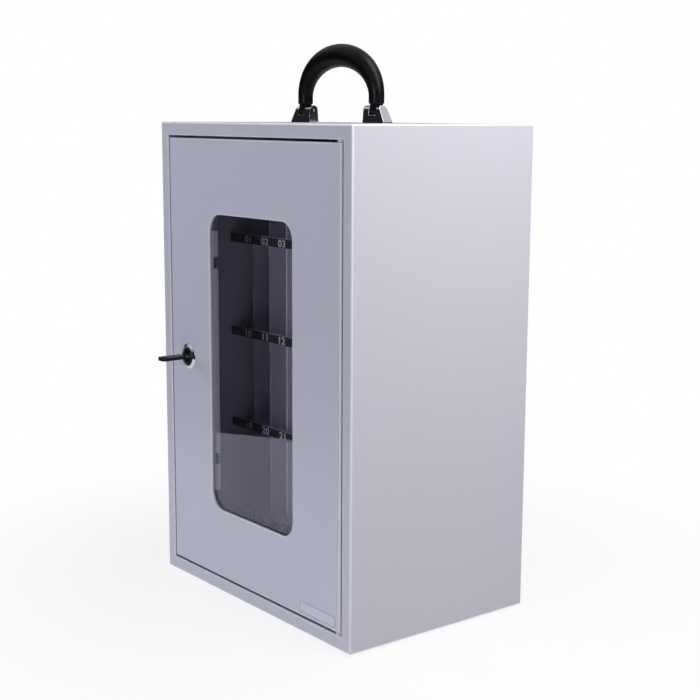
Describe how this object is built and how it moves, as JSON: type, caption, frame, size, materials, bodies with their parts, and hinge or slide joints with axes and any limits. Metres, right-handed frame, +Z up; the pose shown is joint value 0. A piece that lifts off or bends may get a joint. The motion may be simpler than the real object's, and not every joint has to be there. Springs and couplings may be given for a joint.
{
  "type": "cell phone locker box",
  "caption": "Folded steel locker box with a glazed, key-locked door, a rack of numbered phone slots behind it and a folding carrying handle on top.",
  "frame": {"origin": "middle of the case's flat underside, on which the rubber feet sit", "axes": "+Z up, -Y out of the door, +X to the right, on the door's hinge side"},
  "size_m": [0.335, 0.2665, 0.5828],
  "materials": {
    "case_paint": "fine satin powder coat, cool light grey",
    "rack_paint": "matt black powder coat",
    "divider_plastic": "matt black sheet plastic",
    "strip_plastic": "matt dark strip with plain white numbers",
    "plated_steel": "bright zinc plate",
    "rubber": "matt black rubber",
    "nylon": "natural white nylon",
    "bright_chrome": "polished chrome plate",
    "dark_plug": "dark nickel plate",
    "grip_plastic": "smooth black moulded plastic, soft gloss",
    "key_plastic": "black moulded plastic",
    "clip_plastic": "black moulded plastic",
    "clear_pane": "clear acrylic sheet",
    "pale_plate": "blank pale plate"
  },
  "bodies": {
    "cabinet": {"left_side": "case_paint", "right_side": "case_paint", "top_panel": "case_paint", "base_panel": "case_paint", "back_panel": "case_paint", "front_frame": "case_paint", "door_stop": "case_paint", "rack_side_left": "rack_paint", "rack_side_right": "rack_paint", "tray_1": "rack_paint", "tray_2": "rack_paint", "tray_3": "rack_paint", "tray_4": "rack_paint", "tray_front_rails": "rack_paint", "dividers_row_1": "divider_plastic", "dividers_row_2": "divider_plastic", "dividers_row_3": "divider_plastic", "dividers_row_4": "divider_plastic", "number_strip_1": "strip_plastic", "number_strip_2": "strip_plastic", "number_strip_3": "strip_plastic", "number_strip_4": "strip_plastic", "tray_rivets": "plated_steel", "rubber_feet": "rubber", "hinge_pin_upper": "plated_steel", "hinge_pin_lower": "plated_steel", "hinge_washers": "nylon", "handle_bracket_left": "bright_chrome", "handle_bracket_right": "bright_chrome", "bracket_screws": "plated_steel", "handle_pins": "plated_steel"},
    "door": {"door_panel": "case_paint", "window_pane": "clear_pane", "pane_rails": "case_paint", "pane_clips": "clip_plastic", "clip_studs": "plated_steel", "clip_nuts": "plated_steel", "blank_plate": "pale_plate", "lock_bezel": "bright_chrome", "lock_housing": "bright_chrome", "lock_nut": "plated_steel"},
    "lock": {"lock_plug": "dark_plug", "lock_cam": "plated_steel", "cam_screw": "plated_steel"},
    "key": {"key_blade": "plated_steel", "key_bow": "key_plastic"},
    "handle": {"handle_grip": "grip_plastic"}
  },
  "joints": [
    {"name": "door_hinge", "type": "hinge", "parent": "cabinet", "child": "door", "pos_m": [0.1463, -0.111, 0.25], "axis": [0, 0, 1], "range_deg": [0, 115]},
    {"name": "lock_turn", "type": "hinge", "parent": "door", "child": "lock", "pos_m": [-0.116, -0.115, 0.25], "axis": [0, 1, 0], "range_deg": [0, 90]},
    {"name": "key_draw", "type": "slide", "parent": "lock", "child": "key", "axis": [0, -1, 0], "range_m": [0, 0.02]},
    {"name": "handle_fold", "type": "hinge", "parent": "cabinet", "child": "handle", "pos_m": [0, 0, 0.513], "axis": [1, 0, 0], "range_deg": [-85, 85]}
  ]
}
